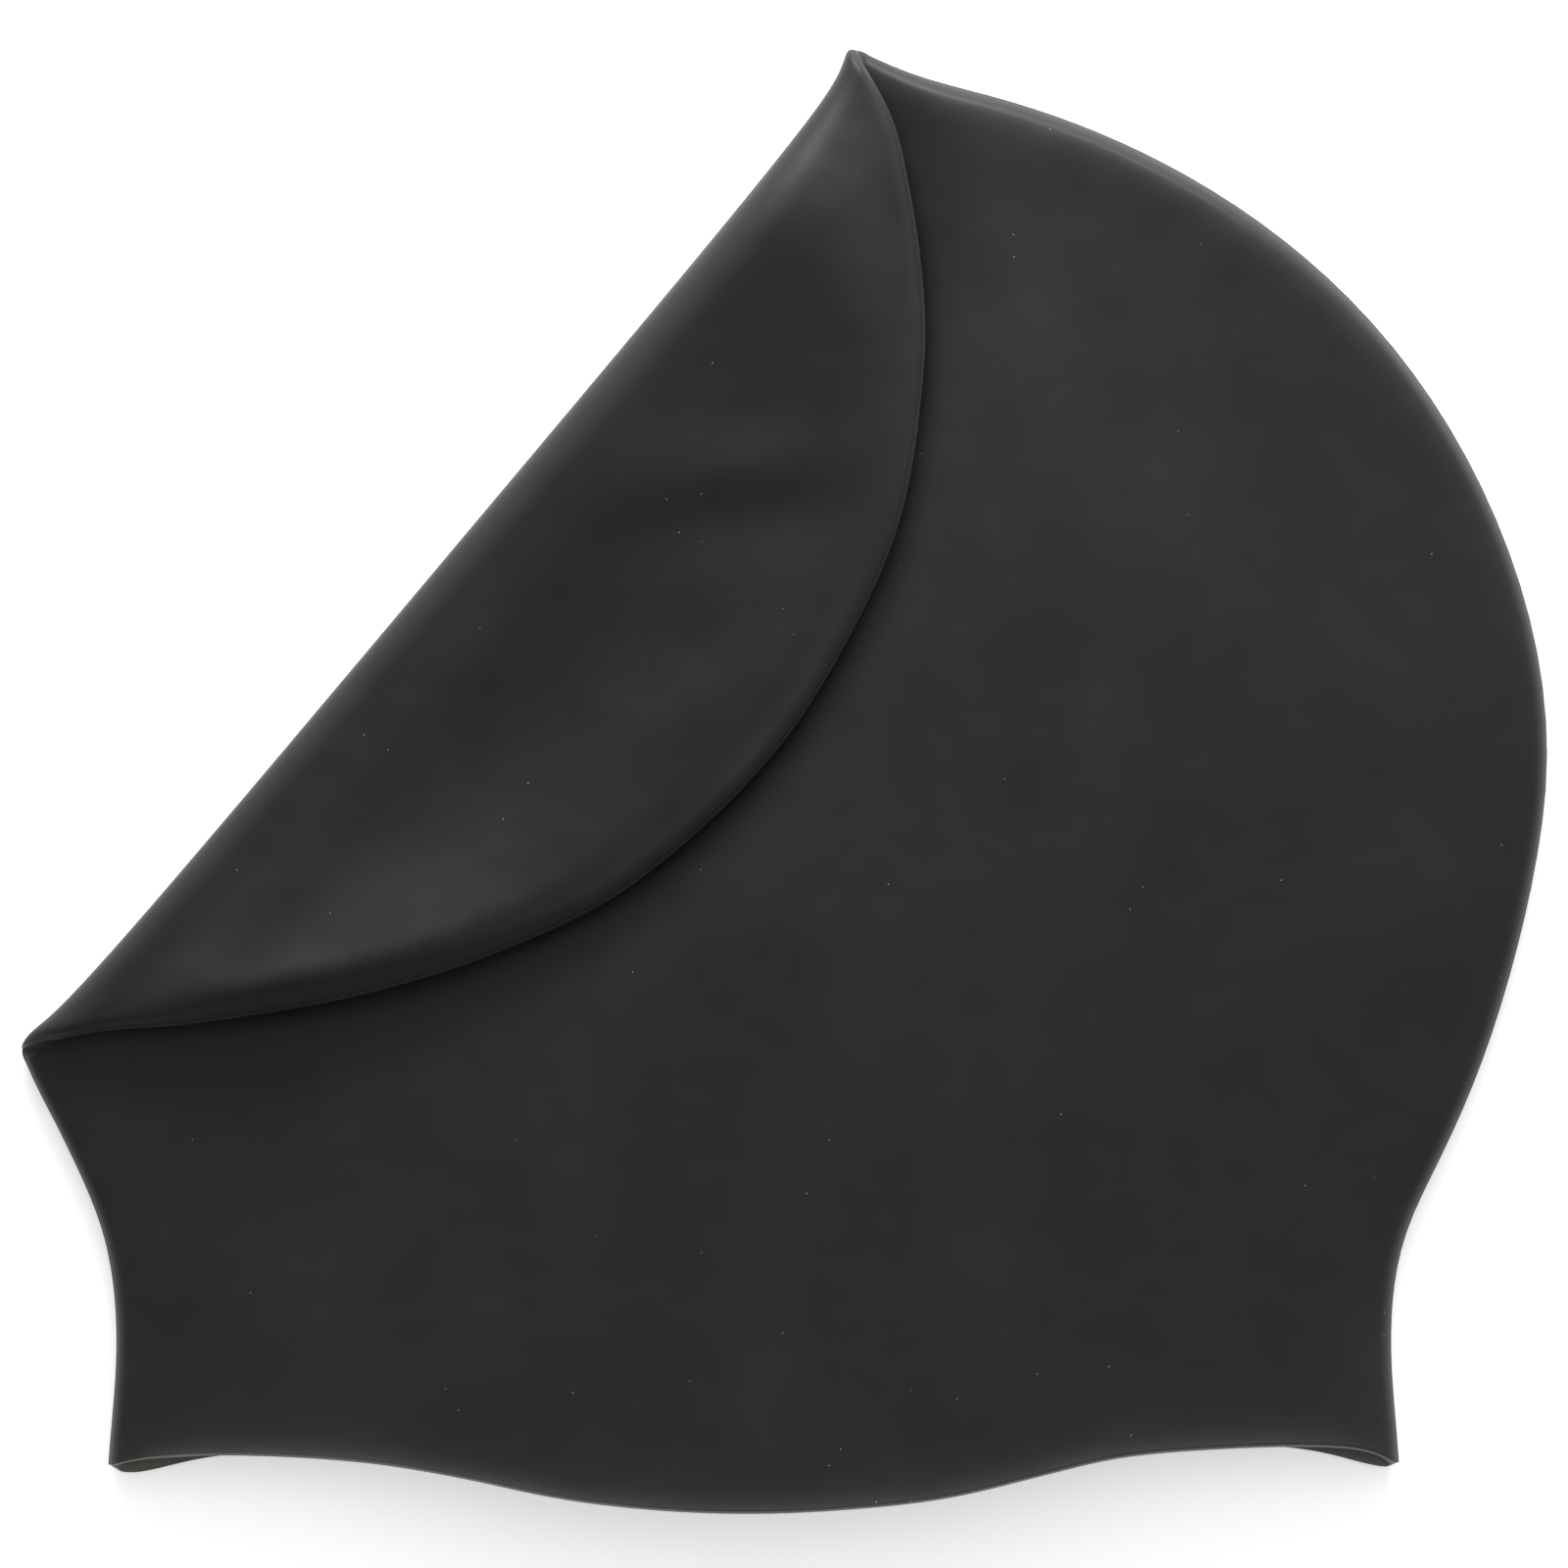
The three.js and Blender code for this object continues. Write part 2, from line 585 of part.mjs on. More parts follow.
const cap = new THREE.Group();
cap.add(capMesh);
export default cap;
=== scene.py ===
import math

import bpy
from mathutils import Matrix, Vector, kdtree


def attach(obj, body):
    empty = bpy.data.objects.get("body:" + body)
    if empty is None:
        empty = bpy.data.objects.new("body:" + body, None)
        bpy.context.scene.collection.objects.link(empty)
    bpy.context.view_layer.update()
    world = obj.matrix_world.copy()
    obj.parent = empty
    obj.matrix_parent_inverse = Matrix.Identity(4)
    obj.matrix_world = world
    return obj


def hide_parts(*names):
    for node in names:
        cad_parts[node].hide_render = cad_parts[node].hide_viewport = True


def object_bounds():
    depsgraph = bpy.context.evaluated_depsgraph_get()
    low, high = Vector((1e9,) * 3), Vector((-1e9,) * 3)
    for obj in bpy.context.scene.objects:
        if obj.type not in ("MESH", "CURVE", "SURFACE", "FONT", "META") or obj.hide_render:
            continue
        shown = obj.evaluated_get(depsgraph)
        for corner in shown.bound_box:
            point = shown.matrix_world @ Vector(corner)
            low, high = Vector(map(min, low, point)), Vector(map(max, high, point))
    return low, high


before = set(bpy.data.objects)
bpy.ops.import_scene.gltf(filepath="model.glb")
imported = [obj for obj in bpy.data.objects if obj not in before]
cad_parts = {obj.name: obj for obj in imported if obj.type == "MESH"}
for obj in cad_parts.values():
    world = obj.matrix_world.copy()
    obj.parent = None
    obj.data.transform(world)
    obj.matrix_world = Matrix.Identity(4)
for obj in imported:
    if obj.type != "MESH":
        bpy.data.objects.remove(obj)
cad_low, cad_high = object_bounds()

# The cap. A swim cap moulded in one piece from black silicone rubber, about 1 mm thick.
# It lies flat, its two sides joined along the mould's parting line, and the upper left
# of its crown is folded over onto the rest. Sizes are in millimetres and named as on
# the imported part, whose shape this piece follows at a finer grain.
MM = 0.001
CROWN_HALF_WIDTH = 110
SIDE_HEIGHT = 99.05  # from the rim's corners up to the widest line
DOME_RISE = 94.4  # from the widest line up to the top
CROWN_FLAT = 0.95  # how far the crown's right side lies inside the plain curve
FLAT_HEIGHT = 135
FLAT_RUN = 28
SIDE_TUCK = 0.85  # how far the left side is drawn in below the fold
TUCK_HEIGHT = 43.5
TUCK_RUN = 8.5
EAR_DROP = 6.1  # the ear curve, below the corners
RIM_RISE = 2.95  # the rim's highest stretch, above the corners
LOWER_LIP = 2.1  # how far the lower side's rim shows past the upper one's
LIP_PLACE = 4.4  # where it shows most, in from each corner
LIP_END = 15.4  # where it starts to draw back, in from each corner
LIP_FADE = 13.2  # and how far on it is drawn back fully
LOWER_RECESS = 0.7  # how far it then hides behind the upper one
RIM_REACH = 45  # height up to which the rows follow the rim's curve

# Wall, and heights above the table
WALL = 1
EDGE_RADIUS = 1.7  # outside of the moulded edge that joins the two sides
CROWN_HEIGHT = 10.6
MOUTH_HEIGHT = 10.2
SHOULDER_HEIGHT = 2.4  # rise of the upper side close to its edge
SHOULDER_RUN = 1.2  # on the crown
SIDE_SHOULDER_RUN = 5.4  # on the sides
SHOULDER_FROM = 90  # heights between which the second becomes the first
SHOULDER_TO = 150
DOME_RUN = 66  # from the edge to the full height
MOUTH_RUN = 14  # from the rim to the full height
RIM_FLARE = 1  # how far the upper side's rim stands up
RIM_FLARE_RUN = 2

# The fold
FOLD_LOW_HEIGHT = 57.75  # lower tip, above the rim's corners
FOLD_TOP_OFFSET = 14.1  # upper tip, right of the middle
TIP_PULL = 2.4  # how far the upper tip stands above the dome's own curve
TIP_PULL_RUN = 6.2
FOLD_RADIUS = 2.4  # bend of the pair of sides, half way between them
TOP_FOLD_RADIUS = 5.8  # and near its upper tip, where the fold stands open
OPENING = 1.6  # power by which it opens
TIP_RADIUS = 1.9  # at both tips
LOW_TIP_RUN = 21  # from the lower tip to the full radius
TOP_TIP_RUN = 28  # and from the upper one
TIP_TURN = 1.4  # above 1, the edge turns along the fold late in the bend
TIP_BLUNTNESS = 2.5  # length of a tip's rounded end
FOLD_RECESS = 1.5  # how far the fold lies inside the line through its tips
RECESS_RUN = 13

# The upper side beside the fold and under the flap
BEND_EASE = 9  # from the fold to the side's free height
FOLD_EASE = 45  # under the flap, where the side is pressed down
PRESSED_SHARE = 0.4
PRESS_START = 3  # how far under the flap's edge it starts to rise again
PRESS_RUN = 9  # and how fast, beside the upper half of the fold
LOW_PRESS_RUN = 60  # and at its lower tip
PRESS_CHANGE = 0.5  # share of the fold over which the second becomes the first

# The flap
FLAP_DEPTH = 53.5
FLAP_EDGE_RADIUS = 1.8
FLAP_EDGE_RUN = 15
FLAP_WAIST = 7  # width of the hollow inside the flap's edge
FLAP_CLEARANCE = 0.5
LIFT_PLACE = 0.17  # along the fold, where the flap's edge stands highest
LIFT_SPREAD = 0.18
FLAP_LIFT = 1.8
EDGE_DIP = 2.6  # how far its edge turns down there
DIP_START = 1.2
DIP_RUN = 6.5
EDGE_GROOVE = 0.24  # depth of the fine groove beside the edge elsewhere
GROOVE_PLACE = 3.6
GROOVE_WIDTH = 1.4
GROOVE_END = 0.6  # along the fold, where it starts to fade out
GROOVE_FADE = 0.16
DENT_FADE = 8  # from the fold or the flap's edge to a dent's full depth
SHORT_FLAP = 16  # a flap narrower than this stays up instead of lying down

# Half width of the flat outline: height as a share of SIDE_HEIGHT, then the width as
# a share of CROWN_HALF_WIDTH
SIDE_PROFILE = [
    (0, 0.81),
    (0.19, 0.8),
    (0.32, 0.817),
    (0.457, 0.875),
    (0.593, 0.925),
    (0.8, 0.976),
    (1, 1),
    (1.2, 0.976),
]

# The upper side's rim: place across the half width, share of RIM_RISE, share of EAR_DROP
RIM_CURVE = [
    (-1, 0, 0),
    (-0.94, 0.4, 0),
    (-0.8, 0.62, 0),
    (-0.6, 0.3, 0),
    (-0.45, 0, 0.2),
    (-0.3, 0, 0.66),
    (-0.15, 0, 0.92),
    (0, 0, 1),
    (0.15, 0, 0.9),
    (0.3, 0, 0.65),
    (0.45, 0, 0.13),
    (0.56, 0.5, 0),
    (0.7, 0.88, 0),
    (0.86, 1, 0),
    (0.95, 0.75, 0),
    (1, 0.1, 0),
]

# The flap's edge: place along the fold, share of FLAP_DEPTH
FLAP_OUTLINE = [
    (0, 0),
    (0.05, 0.132),
    (0.1, 0.3),
    (0.2, 0.584),
    (0.3, 0.797),
    (0.4, 0.939),
    (0.54, 1),
    (0.65, 0.957),
    (0.75, 0.855),
    (0.85, 0.65),
    (0.9, 0.503),
    (0.95, 0.312),
    (0.98, 0.17),
    (1, 0),
]

# Soft dents of the flap, and swells where the depth is negative: middle along the fold
# and across the flap as shares, half length and half width in millimetres, turn from the
# fold in degrees, depth
FLAP_DENTS = [
    (0.45, 0.5, 38, 11, 2, 1.4),
    (0.69, 0.44, 17, 3.6, 42, -0.8),
    (0.66, 0.55, 15, 3.2, 42, 0.5),
    (0.4, 0.2, 44, 6, 0, -0.8),
    (0.575, 0.68, 7, 4.5, 0, 0.5),
    (0.2, 0.36, 12, 4, 10, 0.3),
    (0.898, 0.2, 7, 2.2, 20, -0.35),
]

# Soft swells of the body's upper side: middle, half length and half width, turn from
# +X in degrees, rise
BODY_SWELLS = [
    (-93, 43.5, 9, 4.5, -34, 0.4),
    (72, 150, 18, 6, 118, 0.35),
    (52, 128, 14, 7, 120, 0.3),
    (-20, 64, 30, 14, 20, 0.3),
    (40, 40, 26, 12, -15, 0.25),
]


def lerp(a, b, t):
    return a + (b - a) * t


def clamp(t, low=0.0, high=1.0):
    return max(low, min(high, t))


def ease(t):
    t = clamp(t)
    return t * t * (3 - 2 * t)


SOLVE_STEPS = 40
SAMPLE_STEPS = 240


def read_curve(rows, at, column=1):
    """Value of a smooth curve through a table's rows."""
    last = len(rows) - 1
    i = next((n for n in range(last) if rows[n + 1][0] > at), last - 1)

    def slope(k):
        a, b = rows[max(0, k - 1)], rows[min(last, k + 1)]
        return (b[column] - a[column]) / (b[0] - a[0])

    a, b = rows[i], rows[i + 1]
    span = b[0] - a[0]
    t = clamp((at - a[0]) / span)
    return (
        (2 * t**3 - 3 * t**2 + 1) * a[column]
        + (t**3 - 2 * t**2 + t) * span * slope(i)
        + (3 * t**2 - 2 * t**3) * b[column]
        + (t**3 - t**2) * span * slope(i + 1)
    )


def solve(rises, low, high):
    """Where a rising function reaches zero, by halving the stretch again and again."""
    for _ in range(SOLVE_STEPS):
        middle = (low + high) / 2
        if rises(middle) < 0:
            low = middle
        else:
            high = middle
    return (low + high) / 2


def half_width(y):
    above = (y - SIDE_HEIGHT) / DOME_RISE
    if above > 0:
        return CROWN_HALF_WIDTH * math.sqrt(max(0, 1 - above * above))
    return CROWN_HALF_WIDTH * read_curve(SIDE_PROFILE, y / SIDE_HEIGHT)


def dome_top(x):
    pull = math.exp(-(((x - FOLD_TOP_OFFSET) / TIP_PULL_RUN) ** 2))
    dome = math.sqrt(max(0, 1 - (x / CROWN_HALF_WIDTH) ** 2))
    return SIDE_HEIGHT + DOME_RISE * dome + TIP_PULL * pull


def flat_at(y):
    """How far the crown's right side lies inside the plain curve."""
    return CROWN_FLAT * math.exp(-(((y - FLAT_HEIGHT) / FLAT_RUN) ** 2))


def left_place(y):
    tuck = SIDE_TUCK * math.exp(-(((y - TUCK_HEIGHT) / TUCK_RUN) ** 2))
    return Vector((tuck - half_width(y), y))


def right_place(y):
    return Vector((half_width(y) - flat_at(y), y))


CORNER = half_width(0)


def upper_rim(x):
    across = x / CORNER
    rise = RIM_RISE * read_curve(RIM_CURVE, across, 1)
    return rise - EAR_DROP * read_curve(RIM_CURVE, across, 2)


def lower_rim(x):
    inset = max(0, CORNER - abs(x))
    lip = inset / LIP_PLACE * math.exp(1 - inset / LIP_PLACE)
    middle = ease((inset - LIP_END) / LIP_FADE)
    return upper_rim(x) - LOWER_LIP * lip + LOWER_RECESS * middle


# The fold's own frame: s along it from the lower tip, x across it into the cap
LOW_TIP = left_place(FOLD_LOW_HEIGHT)
TOP_TIP = Vector((FOLD_TOP_OFFSET, dome_top(FOLD_TOP_OFFSET)))
FOLD_LENGTH = (TOP_TIP - LOW_TIP).length
ALONG = (TOP_TIP - LOW_TIP).normalized()
INWARD = Vector((ALONG.y, -ALONG.x))


def to_plan(s, x):
    return LOW_TIP + ALONG * s + INWARD * x


def to_fold(p):
    away = p - LOW_TIP
    return away.dot(ALONG), away.dot(INWARD)


def from_tip(s):
    return max(0.0, min(s, FOLD_LENGTH - s))


def fold_radius(s):
    full = lerp(FOLD_RADIUS, TOP_FOLD_RADIUS, clamp(s / FOLD_LENGTH) ** OPENING)
    share_of_run = min(s / LOW_TIP_RUN, (FOLD_LENGTH - s) / TOP_TIP_RUN)
    return lerp(TIP_RADIUS, full, ease(share_of_run))


def fold_recess(s):
    recess = FOLD_RECESS * (1 - math.exp(-from_tip(s) / RECESS_RUN))
    return recess - EDGE_RADIUS * math.exp(-from_tip(s) / TIP_BLUNTNESS)


def bend_start(s):
    return fold_recess(s) + fold_radius(s) + EDGE_RADIUS


def flap_edge(s):
    return FLAP_DEPTH * read_curve(FLAP_OUTLINE, s / FOLD_LENGTH)


def flap_width(s):
    return flap_edge(s) - bend_start(s)


def turned(s, angle):
    """Where a point of the bend lay on the flat cap."""
    return s, bend_start(s) - angle * fold_radius(s)


class Edge:
    """A stretch of the flat cap's edge, read by the share of its length."""

    def __init__(self, points):
        self.points = points
        self.lengths = [0.0]
        for a, b in zip(points, points[1:]):
            self.lengths.append(self.lengths[-1] + (b - a).length)

    def at(self, share):
        goal = clamp(share) * self.lengths[-1]
        i = next(n for n in range(1, len(self.lengths)) if self.lengths[n] >= goal)
        t = (goal - self.lengths[i - 1]) / (self.lengths[i] - self.lengths[i - 1])
        return self.points[i - 1].lerp(self.points[i], t)


def sample(start, end, place):
    return [place(lerp(start, end, n / SAMPLE_STEPS)) for n in range(SAMPLE_STEPS + 1)]


def past_start(p):
    s, x = to_fold(p)
    return x - bend_start(s)


def dome_place(angle):
    x = CROWN_HALF_WIDTH * math.cos(angle)
    y = dome_top(x)
    return Vector((x - flat_at(y), y))


def dome_angle(back):
    return math.acos((FOLD_TOP_OFFSET + back) / CROWN_HALF_WIDTH)


# Where the bend starts on each side, and the two ends of the flap's own edge
low_end = solve(lambda down: past_start(left_place(FOLD_LOW_HEIGHT - down)), 0, FOLD_LOW_HEIGHT / 2)
top_end = solve(lambda back: past_start(dome_place(dome_angle(back))), 0, CROWN_HALF_WIDTH / 4)
left_side = Edge(sample(0, FOLD_LOW_HEIGHT - low_end, left_place))
crown_points = sample(0, dome_angle(top_end), dome_place)
right_side = Edge(sample(0, SIDE_HEIGHT, right_place) + crown_points[1:])
flap_from = solve(flap_width, 0, FOLD_LENGTH / 4)
flap_to = solve(lambda s: -flap_width(s), 3 * FOLD_LENGTH / 4, FOLD_LENGTH)


def flap_place(s):
    return to_plan(s, bend_start(s) - math.pi * fold_radius(s) - flap_width(s))


flap_arc = Edge(sample(flap_from, flap_to, flap_place))
low_from = to_fold(left_side.at(1))[0]
top_from = to_fold(right_side.at(1))[0]

side_points = left_side.points + right_side.points
side_tree = kdtree.KDTree(len(side_points))
for n, p in enumerate(side_points):
    side_tree.insert((p.x, p.y, 0), n)
side_tree.balance()


def side_distance(p):
    return side_tree.find((p.x, p.y, 0))[2]


# Rows run across the cap from the rim to the flap's edge, and lines from its left side
# to its right. The outermost ones of both are the moulded edge, rounded in steps.
EDGE_STEPS = 5
BODY_ROWS = 38
BEND_ROWS = 14
FLAP_ROWS = 18
COLUMNS = 50
BENT = BODY_ROWS + BEND_ROWS
ROWS = BENT + FLAP_ROWS + EDGE_STEPS
LINES = COLUMNS + 2 * EDGE_STEPS
FLAP_SIDE_SHARE = 0.11  # of the flap's edge, that its first and last lines run along
FLAP_CROWDING = 1.6  # above 1, the flap's rows crowd at its edge
RIM_CROWDING = 1.35  # above 1, the body's rows crowd at the rim
ROW_CROWDING = 0.35  # how far the body's rows crowd at the rim and the fold, from 0 to 1
LINE_CROWDING = 0.5  # and the lines at both sides
END_SHARPNESS = 8  # above 1, the bend's lines keep straight up to its ends


def spread(t, crowd):
    """Evenly spaced shares drawn together toward 0 and 1."""
    return t - crowd * math.sin(2 * math.pi * t) / (2 * math.pi)


def body_share(row):
    return spread(row / BODY_ROWS, ROW_CROWDING) ** RIM_CROWDING


def side_edge(row, right):
    if row <= BODY_ROWS:
        return (right_side if right else left_side).at(body_share(row))
    if row <= BENT:
        t = (row - BODY_ROWS) / BEND_ROWS
        ends = (top_from, flap_to) if right else (low_from, flap_from)
        return to_plan(*turned(lerp(*ends, t**TIP_TURN), math.pi * t))
    t = FLAP_SIDE_SHARE * (row - BENT) / (ROWS - BENT)
    return flap_arc.at(1 - t if right else t)


def far_edge(line):
    return flap_arc.at(lerp(FLAP_SIDE_SHARE, 1 - FLAP_SIDE_SHARE, line / LINES))


def ring_points(ring):
    """Edge places of one line round the cap, from the left rim corner to the right."""
    far = ROWS - ring

    def stretch(row):
        return row if row <= BENT else BENT + (row - BENT) * (ROWS - BENT) / (far - BENT)

    left = [side_edge(stretch(row), False) for row in range(far + 1)]
    right = [side_edge(stretch(row), True) for row in range(far, -1, -1)]
    width = LINES - 2 * ring
    top = [far_edge((n + 1) * LINES / width) for n in range(width - 1)]
    return left + top + right


def inward_normals(points):
    normals = [Vector((1, 0))]
    for a, b in zip(points, points[2:]):
        d = (b - a).normalized()
        normals.append(Vector((d.y, -d.x)))
    return normals + [Vector((-1, 0))]


def edge_radius(p):
    s, x = to_fold(p)
    past = bend_start(s) - x - math.pi * fold_radius(s)
    if past <= 0:
        return EDGE_RADIUS
    return lerp(EDGE_RADIUS, FLAP_EDGE_RADIUS, ease(past / FLAP_EDGE_RUN))


class Cell:
    """A point of the flat cap: its place, and how far round the moulded edge it sits."""

    def __init__(self, edge, normal=None, turn=math.pi / 2):
        self.edge = edge
        self.turn = turn
        self.free = normal is None
        self.radius = edge_radius(edge)
        reach = 0 if self.free else self.radius * (1 - math.cos(turn))
        self.flat = edge if self.free else edge + normal * reach


cells = {}
for ring in range(EDGE_STEPS + 1):
    points = ring_points(ring)
    normals = inward_normals(points)
    far = ROWS - ring
    for n, (edge, normal) in enumerate(zip(points, normals)):
        line = int(clamp(n - far + ring, ring, LINES - ring))
        row = n if n <= far else min(far, len(points) - 1 - n)
        cells[line, row] = Cell(edge, normal, math.pi / 2 * ring / EDGE_STEPS)

first, last, far_row = EDGE_STEPS, LINES - EDGE_STEPS, ROWS - EDGE_STEPS


def share(line):
    return spread((line - first) / (last - first), LINE_CROWDING)


def left_cell(row):
    return cells[first, row].flat


def right_cell(row):
    return cells[last, row].flat


def rim_place(line):
    return left_cell(0).lerp(right_cell(0), share(line))


def bend_place(line, row):
    """A point of the bend, drawn to the cap's edge at both ends of its row."""
    u = share(line)
    angle = math.pi * (row - BODY_ROWS) / BEND_ROWS
    a, b = to_fold(left_cell(row)), to_fold(right_cell(row))
    s, x = turned(lerp(a[0], b[0], u), angle)
    x += (a[1] - turned(a[0], angle)[1]) * (1 - u) ** END_SHARPNESS
    x += (b[1] - turned(b[0], angle)[1]) * u**END_SHARPNESS
    return to_plan(s, x)


def patch(line, row, t, low, high):
    """A point inside the four edges of the body or of the flap."""
    u = share(line)
    across = left_cell(row).lerp(right_cell(row), u)
    along = low(line).lerp(high(line), t)
    at_left = low(first).lerp(high(first), t)
    at_right = low(last).lerp(high(last), t)
    return across + along - at_left.lerp(at_right, u)


for line in range(first + 1, last):
    for row in range(far_row):
        if row < BODY_ROWS:
            edge = patch(line, row, body_share(row), rim_place, lambda n: bend_place(n, BODY_ROWS))
        elif row <= BENT:
            edge = bend_place(line, row)
        else:
            flap_share = 1 - (1 - (row - BENT) / (far_row - BENT)) ** FLAP_CROWDING
            edge = patch(
                line, row, flap_share, lambda n: bend_place(n, BENT), lambda n: cells[n, far_row].flat
            )
        cells[line, row] = Cell(edge)

FULL_LOFT = CROWN_HEIGHT - 2 * EDGE_RADIUS


def dents_at(rows, away_from):
    """Sum of soft round-ended dents or swells, each read in its own turned frame."""
    total = 0
    for a, b, length, width, turn, depth in rows:
        away = away_from(a, b)
        c, k = math.cos(math.radians(turn)), math.sin(math.radians(turn))
        u = (away.x * c + away.y * k) / length
        v = (away.y * c - away.x * k) / width
        total += depth * math.exp(-(u * u + v * v))
    return total


def loft(p):
    """Rise of the upper side over the lower one, pressed down under the flap."""
    s, x = to_fold(p)
    run = lerp(LOW_PRESS_RUN, PRESS_RUN, ease(clamp(s / FOLD_LENGTH) / PRESS_CHANGE))
    beside = x - flap_edge(s) + PRESS_START
    free = 1 - math.exp(-beside / run) if beside > 0 else 0
    under_flap = ease((x - bend_start(s)) / FOLD_EASE)
    start = ease((x - bend_start(s)) / BEND_EASE)
    d = side_distance(p)
    to_crown = ease((p.y - SHOULDER_FROM) / (SHOULDER_TO - SHOULDER_FROM))
    inside = 1 - math.exp(-d / lerp(SIDE_SHOULDER_RUN, SHOULDER_RUN, to_crown))
    shoulder = SHOULDER_HEIGHT * inside
    dome = (FULL_LOFT - SHOULDER_HEIGHT) * ease(d / DOME_RUN)
    dome += dents_at(BODY_SWELLS, lambda a, b: p - Vector((a, b))) * inside
    mouth_share = (MOUTH_HEIGHT - 2 * EDGE_RADIUS) / FULL_LOFT
    mouth = 1 - (1 - mouth_share) * math.exp(-max(0, p.y) / MOUTH_RUN)
    rise = (shoulder + dome) * mouth * start * lerp(PRESSED_SHARE * under_flap, 1, free)
    return rise + RIM_FLARE * inside * math.exp(-max(0, p.y) / RIM_FLARE_RUN)


def dent_depth(s, x):
    """Depth of the flap's dents, which fade out at the fold and at the flap's edge."""
    total = dents_at(FLAP_DENTS, lambda a, b: Vector((s - a * FOLD_LENGTH, x - b * FLAP_DEPTH)))
    at_fold = ease((x - bend_start(s)) / DENT_FADE)
    at_edge = ease((flap_edge(s) - x - DIP_START) / DENT_FADE)
    return total * at_fold * at_edge


def flap_height(s, x):
    """Middle of the flap's two walls: at its edge it dips, and lies on the cap."""
    top = EDGE_RADIUS + 2 * fold_radius(s)
    under = to_plan(s, flap_edge(s))
    lifted = math.exp(-(((s / FOLD_LENGTH - LIFT_PLACE) / LIFT_SPREAD) ** 2))
    rest = 2 * EDGE_RADIUS + loft(under) + FLAP_CLEARANCE + FLAP_LIFT * lifted + FLAP_EDGE_RADIUS
    dip = EDGE_DIP * lifted
    out = ease((x - bend_start(s)) / max(flap_width(s), SHORT_FLAP))
    inward = flap_edge(s) - x
    turned_down = dip * (1 - clamp((inward - DIP_START) / DIP_RUN)) ** 2
    groove = EDGE_GROOVE * math.exp(-(((inward - GROOVE_PLACE) / GROOVE_WIDTH) ** 2))
    groove *= (1 - lifted) * (1 - ease((s / FOLD_LENGTH - GROOVE_END) / GROOVE_FADE))
    return lerp(top, rest + dip, out) - (turned_down + groove) * out - dent_depth(s, x)


def in_space(cell, side):
    """A cell on the upper (side 1) or lower (side -1) wall's outside, after folding."""
    around = side * math.sin(cell.turn)
    s, x = to_fold(cell.flat)
    start, radius = bend_start(s), fold_radius(s)
    past = start - x
    offset = cell.radius * around
    if past <= 0:
        if side > 0:
            offset += loft(cell.flat) * around
        p = cell.flat.copy()
        fade = 1 - ease(p.y / RIM_REACH)
        p.y += fade * lerp(lower_rim(p.x), upper_rim(p.x), (around + 1) / 2)
        return Vector((p.x, p.y, EDGE_RADIUS + offset))
    if past < math.pi * radius:
        angle = past / radius
        q = to_plan(s, start - (radius - offset) * math.sin(angle))
        z = EDGE_RADIUS + radius - (radius - offset) * math.cos(angle)
        return Vector((q.x, q.y, z))
    flap_x = start + past - math.pi * radius
    q = to_plan(s, flap_x)
    if cell.free:
        inside = ease((flap_edge(s) - flap_x - cell.radius) / FLAP_WAIST)
        offset -= (cell.radius - EDGE_RADIUS) * around * inside
    return Vector((q.x, q.y, flap_height(s, flap_x) - offset))


def add_side(name, side):
    """One side of the cap: a grid, each of its points moved to its place."""
    bpy.ops.object.select_all(action="DESELECT")
    bpy.ops.mesh.primitive_grid_add(x_subdivisions=LINES, y_subdivisions=ROWS, size=1)
    wall = bpy.context.object
    wall.name = name
    count = LINES + 1
    parting = wall.vertex_groups.new(name="parting_line")
    for vertex in wall.data.vertices:
        row, line = divmod(vertex.index, count)
        vertex.co = in_space(cells[line, row], side)
        if line in (0, LINES) or row == ROWS:
            parting.add([vertex.index], 1, "REPLACE")
    return wall


upper = add_side("cap_upper", 1)
lower = add_side("cap_lower", -1)
bpy.ops.object.mode_set(mode="EDIT")
bpy.ops.mesh.flip_normals()
bpy.ops.object.mode_set(mode="OBJECT")

upper.select_set(True)
bpy.context.view_layer.objects.active = upper
bpy.ops.object.join()
cap = bpy.context.object
cap.name = "swim_cap"

# The cap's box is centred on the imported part's, and the lower side lies on the table
box_low = Vector([min(v.co[k] for v in cap.data.vertices) for k in range(3)])
box_high = Vector([max(v.co[k] for v in cap.data.vertices) for k in range(3)])
middle = (box_low + box_high) / 2
cad_middle = (cad_low + cad_high) / 2
for vertex in cap.data.vertices:
    place = (vertex.co - middle) * MM
    vertex.co = Vector((place.x + cad_middle.x, place.y + cad_middle.y, vertex.co.z * MM))

MERGE_DISTANCE = 0.01
bpy.ops.object.mode_set(mode="EDIT")
bpy.ops.mesh.select_all(action="SELECT")
bpy.ops.mesh.remove_doubles(threshold=MERGE_DISTANCE * MM)
bpy.ops.object.mode_set(mode="OBJECT")


def apply_modifier(piece, name, kind, **settings):
    modifier = piece.modifiers.new(name, kind)
    for key, value in settings.items():
        setattr(modifier, key, value)
    bpy.context.view_layer.objects.active = piece
    bpy.ops.object.modifier_apply(modifier=name)


apply_modifier(cap, "smooth_sheet", "SUBSURF", levels=1, render_levels=1)

# The mould's parting line stands out along the edge as a fine ridge
PARTING_RIDGE = 0.16
ON_LINE = 0.99  # weight of the points that lie on the line itself
on_ridge = []
for vertex in cap.data.vertices:
    if any(group.weight > ON_LINE for group in vertex.groups):
        vertex.co += vertex.normal * PARTING_RIDGE * MM
        on_ridge.append(vertex.co.copy())

